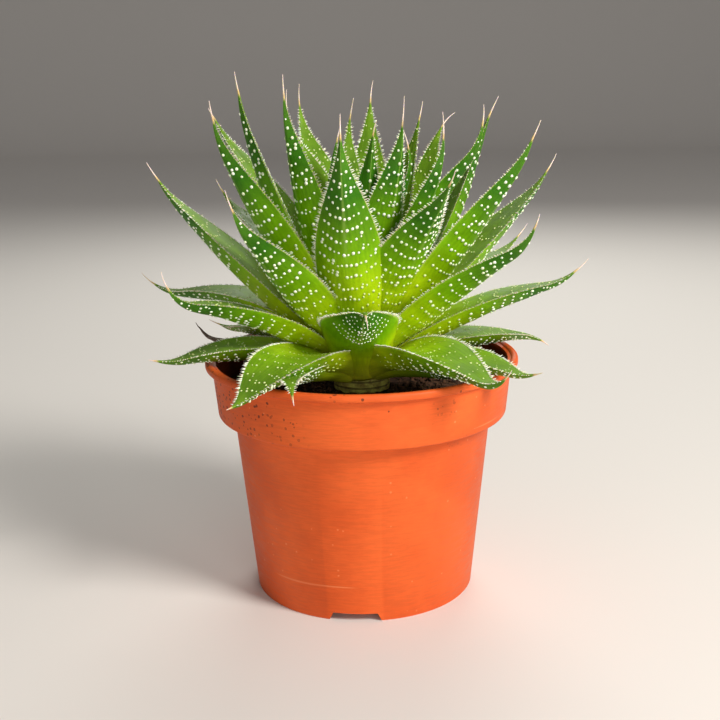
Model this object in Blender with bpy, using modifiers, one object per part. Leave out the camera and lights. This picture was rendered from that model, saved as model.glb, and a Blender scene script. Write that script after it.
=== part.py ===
"""Potted lace aloe: a rosette of toothed, spotted leaves in a plastic nursery pot.

Origin on the pot's axis, on the surface that it stands on. +Z is up, and -Y is the front.
Lengths below are in millimetres and angles in degrees.
"""
import math
import random
from collections import namedtuple

import bmesh
import bpy
from mathutils import Matrix, Vector, noise
from mathutils.bvhtree import BVHTree

MM = 0.001
TURN_STEPS = 44

# Pot
LIP_RADIUS = 60.0
LIP_TOP = 91.8
LIP_DEPTH = 2.9
WALL = 1.2
COLLAR_TOP_RADIUS = 57.3
COLLAR_LOW_RADIUS = 55.7
COLLAR_LOW_HEIGHT = 71.0
BODY_TOP_RADIUS = 49.6
BODY_TOP_HEIGHT = 69.6
BASE_RADIUS = 42.5
FLOOR_HEIGHT = 3.4
FLOOR_THICKNESS = 1.3
NOTCH_COUNT = 3
NOTCH_AZIMUTH = -95.0
NOTCH_WIDTH = 20.5
NOTCH_TOP_WIDTH = 16.5
NOTCH_HEIGHT = 3.1
DRAIN_COUNT = 6
DRAIN_RADIUS = 3.2
DRAIN_CIRCLE = 27.0

# Soil and stem
GAP = 0.35
WALL_GAP = 0.55
SOIL_STEPS = 24
SOIL_TOP = 79.0
SOIL_RELIEF = 1.0
STEM_FOOT = 62.0
STEM_FOOT_RADIUS = 8.5
STEM_RADIUS = 10.8
STEM_WAIST = 76.0
CROWN_TOP = 94.5

# Leaves
CROWN_BASE = 84.0
CROWN_RISE = 9.0
CROWN_RADIUS = 10.0
CROWN_TAPER = 7.0
ARCH_END = 0.85
BLADE_SEGMENTS = 6
BLADE_SPACING = 1.3
AWN_SEGMENTS = 1
AWN_RADIUS = 0.36
TIP_SPAN = 0.52
TIP_POWER = 1.35
THICKNESS = 0.26
THICKNESS_POWER = 0.7
SHOULDER = 0.55
WALK_STEP = 2.0
LEAF_GAP = 0.45
SHARPEST = 3.0
FINEST_EDGE = 0.08
FINEST_HEIGHT = 0.03
MENDING_ROUNDS = 3

# Teeth on the margins and raised spots on the back, at true size but fewer than the real ones
TOOTH_PITCH = 11.0
TOOTH_WIDTH = 1.6
TOOTH_HEIGHT = 1.3
TOOTH_LEAN = 0.35
FOOT_SHARE = 0.5
LOW_PITCH = 50
SPOT_RADIUS = 0.75
SPOT_HEIGHT = 0.8
SPOT_SINK = 0.7
RELIEF_FROM = 0.3
RELIEF_TO = 0.93
RELIEF_CLEAR = 2.3

# EXACT leaves some of the leaves' thin cuts open or empty
LEAF_SOLVER = "MANIFOLD"

LEAF_COLOUR = (0.13, 0.30, 0.02, 1.0)
STEM_COLOUR = (0.08, 0.09, 0.02, 1.0)
POT_COLOUR = (0.70, 0.14, 0.035, 1.0)
SOIL_COLOUR = (0.02, 0.012, 0.008, 1.0)
BARK_COLOUR = (0.16, 0.06, 0.035, 1.0)
DRY_COLOUR = (0.06, 0.03, 0.02, 1.0)

# A leaf leaves the stem at an azimuth, starts at the base pitch, reaches the tip pitch near the
# blade's end and the awn pitch at the end of its awn, and its heading turns by the sweep. The cup
# is how far its margins stand above the middle of its face, as a share of its half width. The foot
# is the least share of its width and thickness that it keeps where it clasps the stem.
Leaf = namedtuple("Leaf", "name azimuth length width base_pitch tip_pitch awn_pitch sweep awn cup foot",
                  defaults=[0.2, 0.0])

LEAVES = [
    Leaf("leaf_heart_1", 120, 88, 15, 90, 84, 120, 2, 8),
    Leaf("leaf_heart_2", -76, 86, 14, 90, 69, 56, 0, 6),
    Leaf("leaf_heart_3", -3, 79, 12, 87, 69, 115, 0, 7),
    Leaf("leaf_heart_4", -148, 82, 14, 77, 92, 107, 0, 5),
    Leaf("leaf_heart_5", 136, 97, 18, 90, 50, 100, 4, 9),
    Leaf("leaf_heart_6", 120, 101, 20, 83, 53, 100, 8, 8),
    Leaf("leaf_heart_7", -52, 90, 20, 84, 68, 88, -1, 10),
    Leaf("leaf_heart_8", -15, 98, 22, 83, 45, 95, 0, 7),
    Leaf("leaf_heart_9", 44, 92, 16, 76, 69, 73, -3, 7),
    Leaf("leaf_inner_1", -142, 102, 20, 73, 73, 91, 0, 8),
    Leaf("leaf_inner_2", -38, 90, 17, 72, 63, 100, 3, 9),
    Leaf("leaf_inner_3", -56, 91, 24, 70, 37, 49, -8, 7),
    Leaf("leaf_inner_4", 144, 109, 20, 67, 45, 60, 9, 5),
    Leaf("leaf_inner_5", -176, 107, 20, 66, 70, 83, 1, 8),
    Leaf("leaf_inner_6", 83, 103, 20, 63, 72, 51, 1, 10),
    Leaf("leaf_inner_7", -146, 107, 22, 62, 55, 84, 0, 7),
    Leaf("leaf_inner_8", 138, 92, 20, 61, 23, 63, 4, 6),
    Leaf("leaf_inner_9", 9, 101, 20, 60, 67, 64, 0, 8),
    Leaf("leaf_middle_1", -98, 98, 24, 59, 63, 98, 3, 8),
    Leaf("leaf_middle_2", -29, 106, 22, 58, 48, 69, -2, 7),
    Leaf("leaf_middle_3", -135, 87, 24, 57, 37, 74, 8, 8),
    Leaf("leaf_middle_4", 54, 102, 20, 55, 61, 24, 4, 10),
    Leaf("leaf_middle_5", -35, 89, 22, 52, 26, 76, -2, 5),
    Leaf("leaf_middle_6", 18, 101, 22, 49, 37, 59, 6, 8),
    Leaf("leaf_middle_7", 177, 99, 23, 48, 41, 60, -6, 8),
    Leaf("leaf_middle_8", 69, 76, 22, 50, 28, 56, 0, 7),
    Leaf("leaf_middle_9", 122, 76, 21, 48, 18, 56, 0, 7),
    Leaf("leaf_outer_1", -93, 56, 28, 46, 26, -40, 10, 7, 0.5, 0.95),
    Leaf("leaf_outer_2", 162, 88, 20, 48, -8, 47, 2, 7),
    Leaf("leaf_outer_3", -154, 83, 21, 45, 8, 83, 14, 7),
    Leaf("leaf_outer_4", -5, 83, 20, 42, 10, 52, 1, 7),
    Leaf("leaf_outer_5", 36, 86, 21, 41, 17, 50, 0, 7),
    Leaf("leaf_outer_6", -61, 79, 24, 36, -20, 64, 14, 4, 0.45, 0.85),
    Leaf("leaf_outer_7", 90, 68, 22, 42, 11, 50, 0, 7),
    Leaf("leaf_outer_8", -123, 79, 26, 35, -23, -4, 3, 2, 0.3, 0.8),
    Leaf("leaf_low_1", -166, 73, 21, 31, -15, 16, 2, 3),
    Leaf("leaf_low_2", 112, 68, 20, 30, -10, 20, 0, 6),
    Leaf("leaf_low_3", -34, 72, 19, 28, -12, 26, -13, 4),
    Leaf("leaf_low_4", 11, 69, 19, 28, -11, -40, 6, 4),
    Leaf("leaf_low_5", 48, 74, 20, 27, -12, 20, 0, 6),
    Leaf("leaf_low_6", 81, 63, 20, 32, -10, 20, 0, 5),
    Leaf("leaf_low_7", 142, 70, 19, 29, -14, 20, 0, 6),
    Leaf("leaf_low_8", -134, 67, 18, 20, 2, -60, 56, 3, 0.35, 0.9),
    Leaf("leaf_low_9", -42, 58, 20, 24, -5, 3, -20, 4, 0.35, 0.8),
]

# Withered leaves, which are narrow and have no teeth
DRY_LEAVES = [
    Leaf("dry_leaf_1", 166, 60, 8, 12, 9, 60, -4, 3, 0.4),
    Leaf("dry_leaf_2", 153, 43, 7, 10, 8, -30, 0, 3, 0.4),
]

# Loose chips of bark on the soil
Chip = namedtuple("Chip", "name azimuth distance length width height turn")
CHIPS = [
    Chip("bark_chip_1", 160, 50.0, 7.0, 3.4, 3.0, 70),
    Chip("bark_chip_2", -140, 40.0, 6.0, 3.6, 2.2, 10),
    Chip("bark_chip_3", -46, 44.0, 7.0, 3.2, 2.4, 35),
    Chip("bark_chip_4", -84, 34.0, 5.0, 3.4, 2.0, -30),
    Chip("bark_chip_5", 30, 45.0, 6.5, 4.0, 2.6, -60),
]
CHIP_TAPER = 0.7
CHIP_CHANCE = 0.16


def smooth(x):
    x = min(max(x, 0.0), 1.0)
    return x * x * (3 - 2 * x)


def polar(radius, azimuth, height):
    angle = math.radians(azimuth)
    return Vector((radius * math.cos(angle), radius * math.sin(angle), height))


def material(name, colour, roughness):
    mat = bpy.data.materials.new(name)
    mat.use_nodes = True
    shader = mat.node_tree.nodes["Principled BSDF"]
    shader.inputs["Base Color"].default_value = colour
    shader.inputs["Roughness"].default_value = roughness
    shader.inputs["Metallic"].default_value = 0.0
    return mat


def add_object(name, bm, collection, colour=LEAF_COLOUR, roughness=0.45):
    """Turns a bmesh in millimetres into an object in metres."""
    bmesh.ops.scale(bm, vec=(MM, MM, MM), verts=bm.verts)
    mesh = bpy.data.meshes.new(name)
    bm.to_mesh(mesh)
    bm.free()
    obj = bpy.data.objects.new(name, mesh)
    obj.data.materials.append(material(name, colour, roughness))
    collection.objects.link(obj)
    return obj


def apply_modifiers(obj):
    bpy.context.view_layer.update()
    graph = bpy.context.evaluated_depsgraph_get()
    mesh = bpy.data.meshes.new_from_object(obj.evaluated_get(graph))
    old = obj.data
    obj.modifiers.clear()
    obj.data = mesh
    bpy.data.meshes.remove(old)
    mesh.name = obj.name


def boolean(obj, tool, operation, solver="EXACT"):
    modifier = obj.modifiers.new(operation.title(), "BOOLEAN")
    modifier.operation = operation
    modifier.solver = solver
    modifier.object = tool


def shade_round(obj):
    obj.data.shade_smooth()
    obj.data.set_sharp_from_angle(angle=math.radians(35))


def keep_largest_piece(bm):
    """Drops the loose scraps that a cut leaves behind."""
    unseen = set(bm.faces)
    pieces = []
    while unseen:
        stack = [unseen.pop()]
        piece = list(stack)
        while stack:
            face = stack.pop()
            for other in (f for edge in face.edges for f in edge.link_faces):
                if other in unseen:
                    unseen.discard(other)
                    stack.append(other)
                    piece.append(other)
        pieces.append(piece)
    pieces.sort(key=lambda piece: sum(face.calc_area() for face in piece))
    scraps = [face for piece in pieces[:-1] for face in piece]
    bmesh.ops.delete(bm, geom=scraps, context="FACES")


def is_needle(face):
    longest = max(edge.calc_length() for edge in face.edges)
    return 2 * face.calc_area() < FINEST_HEIGHT * MM * longest


def neighbours(vertex):
    return {edge.other_vert(vertex) for edge in vertex.link_edges}


def drop_flaps(bm):
    """Removes the pairs of triangles that lie back to back on the same three points."""
    pairs = {}
    for face in bm.faces:
        pairs.setdefault(frozenset(face.verts), []).append(face)
    flaps = [face for pair in pairs.values() if len(pair) == 2 for face in pair]
    bmesh.ops.delete(bm, geom=flaps, context="FACES")


def can_close(edge):
    """Whether the skin stays a closed surface when the edge's ends are merged."""
    a, b = edge.verts
    triangles = sum(len(face.verts) == 3 for face in edge.link_faces)
    return (len(neighbours(a) & neighbours(b)) == triangles
            and len(set(a.link_faces) & set(b.link_faces)) == 2)


def close_short_edges(bm):
    """Merges the ends of each tiny edge, where the skin stays closed without it."""
    for edge in list(bm.edges):
        if edge.is_valid and edge.calc_length() < FINEST_EDGE * MM and can_close(edge):
            a, b = edge.verts
            bmesh.ops.pointmerge(bm, verts=[a, b], merge_co=(a.co + b.co) / 2)


def turn_needles(bm):
    """Turns the long edge of each needle-thin triangle, where that makes no second edge."""
    for face in list(bm.faces):
        if not face.is_valid or not is_needle(face):
            continue
        longest = max(face.edges, key=lambda edge: edge.calc_length())
        corners = [v for side in longest.link_faces for v in side.verts if v not in longest.verts]
        if bm.edges.get(corners) is None:
            bmesh.utils.edge_rotate(longest)


def tidy_cuts(obj):
    """Clears a cut body of scraps, tiny edges and needle-thin triangles."""
    bm = bmesh.new()
    bm.from_mesh(obj.data)
    keep_largest_piece(bm)
    close_short_edges(bm)
    bmesh.ops.triangulate(bm, faces=bm.faces, ngon_method="BEAUTY")
    drop_flaps(bm)
    for _ in range(MENDING_ROUNDS):
        close_short_edges(bm)
        turn_needles(bm)
    bm.to_mesh(obj.data)
    bm.free()


def turned(name, profile, steps, collection, colour, roughness):
    """A profile of radius and height in millimetres, turned about Z."""
    bm = bmesh.new()
    points = [bm.verts.new((radius, 0, height)) for radius, height in profile]
    for start, end in zip(points, points[1:]):
        bm.edges.new((start, end))
    obj = add_object(name, bm, collection, colour, roughness)
    screw = obj.modifiers.new("Turn", "SCREW")
    screw.axis = "Z"
    screw.steps = steps
    screw.render_steps = steps
    screw.use_merge_vertices = True
    screw.merge_threshold = 0.00001
    return obj


def pot_outer():
    """The outer wall from the lip down to the foot."""
    return [
        (LIP_RADIUS - 0.6, LIP_TOP),
        (LIP_RADIUS, LIP_TOP - 0.7),
        (LIP_RADIUS, LIP_TOP - LIP_DEPTH + 0.5),
        (LIP_RADIUS - 0.5, LIP_TOP - LIP_DEPTH),
        (COLLAR_TOP_RADIUS, LIP_TOP - LIP_DEPTH - 0.4),
        (COLLAR_LOW_RADIUS, COLLAR_LOW_HEIGHT),
        (COLLAR_LOW_RADIUS - 0.6, COLLAR_LOW_HEIGHT - 0.7),
        (BODY_TOP_RADIUS, BODY_TOP_HEIGHT),
        (BASE_RADIUS, 0.0),
    ]


def pot_inner():
    """The inner wall from the floor up to the lip."""
    floor_top = FLOOR_HEIGHT + FLOOR_THICKNESS
    slope = (BODY_TOP_RADIUS - BASE_RADIUS) / BODY_TOP_HEIGHT
    return [
        (BASE_RADIUS + slope * floor_top - WALL - 1.0, floor_top),
        (BASE_RADIUS + slope * (floor_top + 1.0) - WALL, floor_top + 1.0),
        (BODY_TOP_RADIUS - WALL, BODY_TOP_HEIGHT + 1.0),
        (COLLAR_LOW_RADIUS - 0.8 - WALL, COLLAR_LOW_HEIGHT + 0.7),
        (COLLAR_LOW_RADIUS - WALL, COLLAR_LOW_HEIGHT + 1.4),
        (COLLAR_TOP_RADIUS - WALL, LIP_TOP - 1.0),
        (COLLAR_TOP_RADIUS - WALL + 0.7, LIP_TOP),
    ]


def notch_cutter(azimuth, collection):
    """A wedge with sloping ends, through the foot skirt."""
    bm = bmesh.new()
    low = [(-NOTCH_WIDTH / 2, -1.0), (NOTCH_WIDTH / 2, -1.0), (NOTCH_TOP_WIDTH / 2, NOTCH_HEIGHT),
           (-NOTCH_TOP_WIDTH / 2, NOTCH_HEIGHT)]
    face = bm.faces.new([bm.verts.new((BASE_RADIUS - 5.0, x, z)) for x, z in low])
    outer = bmesh.ops.extrude_face_region(bm, geom=[face])["geom"]
    moved = [item for item in outer if isinstance(item, bmesh.types.BMVert)]
    bmesh.ops.translate(bm, vec=(10.0, 0, 0), verts=moved)
    bmesh.ops.recalc_face_normals(bm, faces=bm.faces)
    cutter = add_object("notch_cutter", bm, collection)
    cutter.rotation_euler.z = math.radians(azimuth)
    return cutter


def drain_cutter(azimuth, collection):
    bm = bmesh.new()
    bmesh.ops.create_cone(bm, cap_ends=True, segments=8, radius1=DRAIN_RADIUS,
                          radius2=DRAIN_RADIUS, depth=4 * FLOOR_THICKNESS)
    centre = polar(DRAIN_CIRCLE, azimuth, FLOOR_HEIGHT + FLOOR_THICKNESS / 2)
    bmesh.ops.translate(bm, vec=centre, verts=bm.verts)
    return add_object("drain_cutter", bm, collection)


def make_pot(collection, cutters):
    floor_top = FLOOR_HEIGHT + FLOOR_THICKNESS
    profile = [(0, floor_top)] + pot_inner() + pot_outer()
    profile += [(BASE_RADIUS - WALL, 0.0), (BASE_RADIUS - WALL, FLOOR_HEIGHT), (0, FLOOR_HEIGHT)]
    pot = turned("pot", profile, TURN_STEPS, collection, POT_COLOUR, 0.42)
    apply_modifiers(pot)
    for k in range(NOTCH_COUNT):
        notch = notch_cutter(NOTCH_AZIMUTH + 360 * k / NOTCH_COUNT, cutters)
        boolean(pot, notch, "DIFFERENCE")
    for k in range(DRAIN_COUNT):
        drain = drain_cutter(360 * k / DRAIN_COUNT, cutters)
        boolean(pot, drain, "DIFFERENCE")
    apply_modifiers(pot)
    tidy_cuts(pot)
    shade_round(pot)
    return pot


def soil_height(x, y):
    """The crumbly surface, level at the wall, at the stem and under each chip."""
    radius = math.hypot(x, y)
    fade = smooth((radius - STEM_RADIUS - 2) / 6) * smooth((COLLAR_LOW_RADIUS - radius - 1) / 6)
    for chip in CHIPS:
        distance = (Vector((x, y, 0)) - polar(chip.distance, chip.azimuth, 0)).length
        fade *= smooth((distance - chip.length) / 6)
    bumps = noise.noise(Vector((x, y, 3.0)) / 9.0) + 0.6 * noise.noise(Vector((x, y, 8.0)) / 4.0)
    return SOIL_TOP + SOIL_RELIEF * fade * (1.5 * bumps - 0.3)


def make_soil(collection):
    """The potting mix, with a plain hole where the stem stands."""
    inner = [(radius - WALL_GAP, height + GAP) for radius, height in pot_inner()[1:5]]
    rim = COLLAR_LOW_RADIUS - WALL + 0.1
    hole = STEM_RADIUS + GAP
    foot = FLOOR_HEIGHT + FLOOR_THICKNESS + GAP
    profile = [(0, STEM_FOOT - GAP), (STEM_FOOT_RADIUS + GAP, STEM_FOOT - GAP),
               (hole, STEM_WAIST), (hole, SOIL_TOP)]
    profile += [(hole + (rim - hole) * k / 5, SOIL_TOP) for k in range(1, 6)]
    profile += list(reversed(inner))
    profile += [(inner[0][0] - 0.6, foot), (0, foot)]
    soil = turned("soil", profile, SOIL_STEPS, collection, SOIL_COLOUR, 0.95)
    apply_modifiers(soil)
    for vertex in soil.data.vertices:
        x, y, z = vertex.co / MM
        if abs(z - SOIL_TOP) < 0.01:
            vertex.co.z = soil_height(x, y) * MM
    shade_round(soil)
    return soil


def make_stem(name, collection, grow=0.0):
    top = CROWN_TOP + grow
    radius = STEM_RADIUS + grow
    profile = [(0, top), (3.0 + grow, top - 0.6), (6.5 + grow, top - 2.6),
               (9.4 + grow, top - 6.0), (radius, CROWN_BASE), (radius, STEM_WAIST),
               (STEM_FOOT_RADIUS + grow, STEM_FOOT - grow), (0, STEM_FOOT - grow)]
    stem = turned(name, profile, 20, collection, STEM_COLOUR, 0.6)
    apply_modifiers(stem)
    shade_round(stem)
    return stem


def make_chip(chip, ground, collection):
    """A rough block with a flat underside, set down on the soil."""
    bm = bmesh.new()
    bmesh.ops.create_cube(bm, size=1.0)
    bmesh.ops.subdivide_edges(bm, edges=bm.edges, cuts=1, use_grid_fill=True)
    draw = random.Random(chip.name)
    for vertex in bm.verts:
        narrow = CHIP_TAPER if vertex.co.z > 0.1 else 1.0
        x, y = (value * narrow + draw.uniform(-CHIP_CHANCE, CHIP_CHANCE) for value in vertex.co.xy)
        z = vertex.co.z if vertex.co.z < -0.1 else vertex.co.z + draw.uniform(-CHIP_CHANCE, 0)
        vertex.co = Vector((x * chip.length, y * chip.width, z * chip.height))
    turn = Matrix.Rotation(math.radians(chip.turn), 3, "Z")
    bmesh.ops.rotate(bm, cent=(0, 0, 0), matrix=turn, verts=bm.verts)
    bmesh.ops.translate(bm, vec=polar(chip.distance, chip.azimuth, SOIL_TOP + 10), verts=bm.verts)
    lowest = min(vertex.co.z for vertex in bm.verts)
    drops = [(v.co - ground.ray_cast(v.co, (0, 0, -1))[0]).z for v in bm.verts if v.co.z < lowest + 0.01]
    bmesh.ops.translate(bm, vec=(0, 0, GAP - min(drops)), verts=bm.verts)
    return add_object(chip.name, bm, collection, BARK_COLOUR, 0.9)


def axes(leaf, s):
    """The directions along the blade, to its side and out of its face at fraction s."""
    heading = math.radians(leaf.azimuth + leaf.sweep * min(s, 1.0))
    reach = 1 + leaf.awn / leaf.length
    if s <= ARCH_END:
        pitch = leaf.base_pitch + (leaf.tip_pitch - leaf.base_pitch) * s / ARCH_END
    else:
        part = (s - ARCH_END) / (reach - ARCH_END)
        pitch = leaf.tip_pitch + (leaf.awn_pitch - leaf.tip_pitch) * part
    pitch = math.radians(pitch)
    out = Vector((math.cos(heading), math.sin(heading), 0))
    up = Vector((0, 0, 1))
    along = out * math.cos(pitch) + up * math.sin(pitch)
    side = Vector((-math.sin(heading), math.cos(heading), 0))
    face = up * math.cos(pitch) - out * math.sin(pitch)
    return along, side, face


def uprightness(leaf):
    return min(max(leaf.base_pitch / 90, 0.0), 1.0)


def spine(leaf, stations):
    """The blade's centre line: a point and its axes at each station."""
    rise = uprightness(leaf)
    point = polar(CROWN_RADIUS - CROWN_TAPER * rise, leaf.azimuth, CROWN_BASE + CROWN_RISE * rise)
    here = 0.0
    frames = []
    for station in stations:
        count = max(1, round((station - here) * leaf.length / WALK_STEP))
        step = (station - here) / count
        for _ in range(count):
            point = point + axes(leaf, here + step / 2)[0] * (leaf.length * step)
            here += step
        frames.append((point.copy(), *axes(leaf, station)))
    return frames


def half_width(leaf, s):
    tip = math.sin(math.pi / 2 * min(max((1 - s) / TIP_SPAN, 0.0), 1.0)) ** TIP_POWER
    base = max(leaf.foot, 0.5 - 0.15 * smooth((uprightness(leaf) - 0.5) / 0.4))
    return leaf.width / 2 * tip * (base + (1 - base) * smooth(s / 0.4)) + AWN_RADIUS


def thickness(leaf, s):
    share = (half_width(leaf, s) - AWN_RADIUS) / (leaf.width / 2)
    base = max(leaf.foot, 0.5)
    return THICKNESS * leaf.width * share ** THICKNESS_POWER * (base + (1 - base) * smooth(s / 0.35))


def section(leaf, s):
    """Six points round the blade: margins, back, keel and the middle of the face."""
    half = half_width(leaf, s)
    depth = thickness(leaf, s) + AWN_RADIUS
    lift = leaf.cup * (1 - 0.75 * min(s, 1.0)) * (half - AWN_RADIUS) if s < 1 else 0.0
    roundness = 2.3 - 1.0 * smooth(s)
    back = lift * SHOULDER - (depth + lift * SHOULDER) * (1 - SHOULDER ** roundness)
    return [(half, lift), (SHOULDER * half, back), (0.0, -depth), (-SHOULDER * half, back),
            (-half, lift), (0.0, AWN_RADIUS)]


def blade_stations(leaf):
    reach = 1 + leaf.awn / leaf.length
    blade = [1 - (1 - k / BLADE_SEGMENTS) ** BLADE_SPACING for k in range(BLADE_SEGMENTS + 1)]
    return blade + [1 + (reach - 1) * k / AWN_SEGMENTS for k in range(1, AWN_SEGMENTS + 1)]


def foot_aim(start, end, share):
    """Where a tooth's foot points: to the end that its half of the strip fans out from."""
    if share == 0.5:
        return (start + end) / 2
    return start if share < 0.5 else end


def margin_teeth(bm, low, high, strips, room):
    """The toothed margin between two rings, as one edge chain on the face and one on the back.

    Each tooth is a pyramid, with its root on the margin and a foot on either side of it. The
    strips hold the two ends of the inner edge, on the face and then on the back.
    """
    run = high.co - low.co
    count = round(run.length / TOOTH_PITCH)
    chains = [[low], [low]]
    inner = sum((start + end for start, end in strips), Vector()) / 2
    outward = (low.co + high.co - inner).normalized()
    for k in range(count):
        share = (k + 0.5) / count
        centre = low.co + run * share
        tip = centre + outward * TOOTH_HEIGHT + run.normalized() * TOOTH_LEAN
        if not room(tip):
            continue
        half = run.normalized() * TOOTH_WIDTH / 2
        root = [bm.verts.new(centre - half), bm.verts.new(centre + half)]
        point = bm.verts.new(tip)
        for chain, (start, end) in zip(chains, strips):
            inward = foot_aim(start, end, share) - centre
            depth = min(TOOTH_WIDTH / 2, FOOT_SHARE * inward.length)
            foot = bm.verts.new(centre + inward.normalized() * depth)
            bm.faces.new((root[0], point, foot))
            bm.faces.new((point, root[1], foot))
            chain += [root[0], foot, root[1]]
    return [chain + [high] for chain in chains]


def fan(bm, inner_low, inner_high, chain):
    """Triangles from an inner edge to the toothed margin beside it."""
    middle = len(chain) // 2
    for k in range(len(chain) - 1):
        bm.faces.new((inner_low if k < middle else inner_high, chain[k], chain[k + 1]))
    bm.faces.new((inner_low, chain[middle], inner_high))


def blade_stretch(bm, low, high, room):
    """The skin between two rings, with teeth on both margins where there is room."""
    for a, b in ((1, 2), (2, 3)):
        bm.faces.new((low[a], low[b], high[b], high[a]))
    for margin, back in ((0, 1), (4, 3)):
        strips = [(low[k].co, high[k].co) for k in (5, back)]
        chains = margin_teeth(bm, low[margin], high[margin], strips, room)
        for chain, inner in zip(chains, (5, back)):
            fan(bm, low[inner], high[inner], chain)


def leaf_body(leaf, room=None):
    """The closed blade with its awn: plain, or with teeth where room says so."""
    bm = bmesh.new()
    stations = blade_stations(leaf)
    rings = []
    for (point, _, side, face), s in zip(spine(leaf, stations), stations):
        ring = [bm.verts.new(point + side * u + face * v) for u, v in section(leaf, s)]
        rings.append(ring)
    for k, (low, high) in enumerate(zip(rings, rings[1:])):
        if room is not None and stations[k] > RELIEF_FROM and stations[k + 1] <= 1:
            blade_stretch(bm, low, high, room)
        else:
            for a in range(6):
                b = (a + 1) % 6
                bm.faces.new((low[a], low[b], high[b], high[a]))
    bm.faces.new(rings[0])
    bm.faces.new(rings[-1])
    bmesh.ops.recalc_face_normals(bm, faces=bm.faces)
    return bm


def grown_body(leaf):
    """The plain blade with its skin moved out by the gap between leaves."""
    bm = leaf_body(leaf)
    bm.normal_update()
    moves = [v.normal * LEAF_GAP * min(v.calc_shell_factor(), SHARPEST) for v in bm.verts]
    for vertex, move in zip(bm.verts, moves):
        vertex.co += move
    return bm


def spot_places(leaf):
    """Two places on the back in each stretch between rings, and one on a low leaf's face."""
    rings = blade_stations(leaf)
    middles = [(low + high) / 2 for low, high in zip(rings, rings[1:])]
    stations = [s for s in middles if RELIEF_FROM < s < RELIEF_TO]
    for k, ((point, _, side, face), s) in enumerate(zip(spine(leaf, stations), stations)):
        half = half_width(leaf, s)
        turn = 1 if k % 2 else -1
        for share in (0.27, -0.75):
            yield point + side * (turn * share * half) - face * thickness(leaf, s), -face
        if leaf.base_pitch < LOW_PITCH:
            yield point + side * (turn * 0.5 * half), face


def spots(leaf, skin, room):
    """Small three-sided cones, sunk into the skin and clear of each other."""
    bm = bmesh.new()
    for guess, outward in spot_places(leaf):
        foot, normal, _, _ = skin.find_nearest(guess)
        if normal.dot(outward) < 0 or not room(foot + normal * SPOT_HEIGHT):
            continue
        made = bmesh.ops.create_cone(bm, cap_ends=True, segments=3, radius1=SPOT_RADIUS,
                                     radius2=0.0, depth=SPOT_SINK + SPOT_HEIGHT)
        turn = normal.to_track_quat("Z", "Y").to_matrix()
        bmesh.ops.rotate(bm, cent=(0, 0, 0), matrix=turn, verts=made["verts"])
        centre = foot + normal * (SPOT_HEIGHT - SPOT_SINK) / 2
        bmesh.ops.translate(bm, vec=centre, verts=made["verts"])
    bmesh.ops.remove_doubles(bm, verts=bm.verts, dist=0.001)
    bmesh.ops.recalc_face_normals(bm, faces=bm.faces)
    return bm


def tree_of(bm):
    tree = BVHTree.FromBMesh(bm)
    bm.free()
    return tree


def tree_of_object(obj):
    bm = bmesh.new()
    bm.from_mesh(obj.data)
    bmesh.ops.transform(bm, matrix=obj.matrix_world, verts=bm.verts)
    bmesh.ops.scale(bm, vec=(1 / MM, 1 / MM, 1 / MM), verts=bm.verts)
    return tree_of(bm)


def room_among(trees):
    """A test of whether a point keeps clear of every tree."""
    def room(point):
        return all(tree.find_nearest(point, RELIEF_CLEAR)[0] is None for tree in trees)
    return room


def fresh_leaf(leaf, skin, room, collection, cutters):
    """A leaf with its teeth and spots."""
    obj = add_object(leaf.name, leaf_body(leaf, room), collection)
    spot_tool = add_object("spots", spots(leaf, skin, room), cutters)
    boolean(obj, spot_tool, "UNION", LEAF_SOLVER)
    return obj


def make_leaves(collection, cutters, neighbours):
    """The rosette, from the heart outwards: each leaf is cut clear of those inside it."""
    plain = {leaf.name: tree_of(leaf_body(leaf)) for leaf in LEAVES + DRY_LEAVES}
    others = [tree_of_object(obj) for obj in neighbours]
    stem_tool = make_stem("stem_clearance", cutters, GAP)
    inside = []
    for leaf in LEAVES + DRY_LEAVES:
        skin = plain[leaf.name]
        if leaf in DRY_LEAVES:
            obj = add_object(leaf.name, leaf_body(leaf), collection, DRY_COLOUR, 0.8)
        else:
            room = room_among([tree for tree in plain.values() if tree is not skin] + others)
            obj = fresh_leaf(leaf, skin, room, collection, cutters)
        for tool, grown in inside:
            if skin.overlap(grown):
                boolean(obj, tool, "DIFFERENCE", LEAF_SOLVER)
        boolean(obj, stem_tool, "DIFFERENCE", LEAF_SOLVER)
        apply_modifiers(obj)
        tidy_cuts(obj)
        shade_round(obj)
        tool = add_object(leaf.name + "_clearance", grown_body(leaf), cutters)
        inside.append((tool, tree_of(grown_body(leaf))))


def main():
    for obj in list(bpy.data.objects):
        bpy.data.objects.remove(obj)
    scene = bpy.context.scene
    plant = bpy.data.collections.new("potted_aloe")
    cutters = bpy.data.collections.new("cutters")
    scene.collection.children.link(plant)
    scene.collection.children.link(cutters)
    pot = make_pot(plant, cutters)
    soil = make_soil(plant)
    ground = tree_of_object(soil)
    chips = [make_chip(chip, ground, plant) for chip in CHIPS]
    make_stem("stem", plant)
    make_leaves(plant, cutters, [pot, soil] + chips)
    for tool in list(cutters.objects):
        bpy.data.objects.remove(tool)


main()
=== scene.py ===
"""Potted lace aloe: finished leaves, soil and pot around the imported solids.

Lengths in the tables and constants are in millimetres, and angles in degrees.
"""
import math
import random
from collections import namedtuple

import bmesh
import bpy
from mathutils import Matrix, Vector, noise


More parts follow.
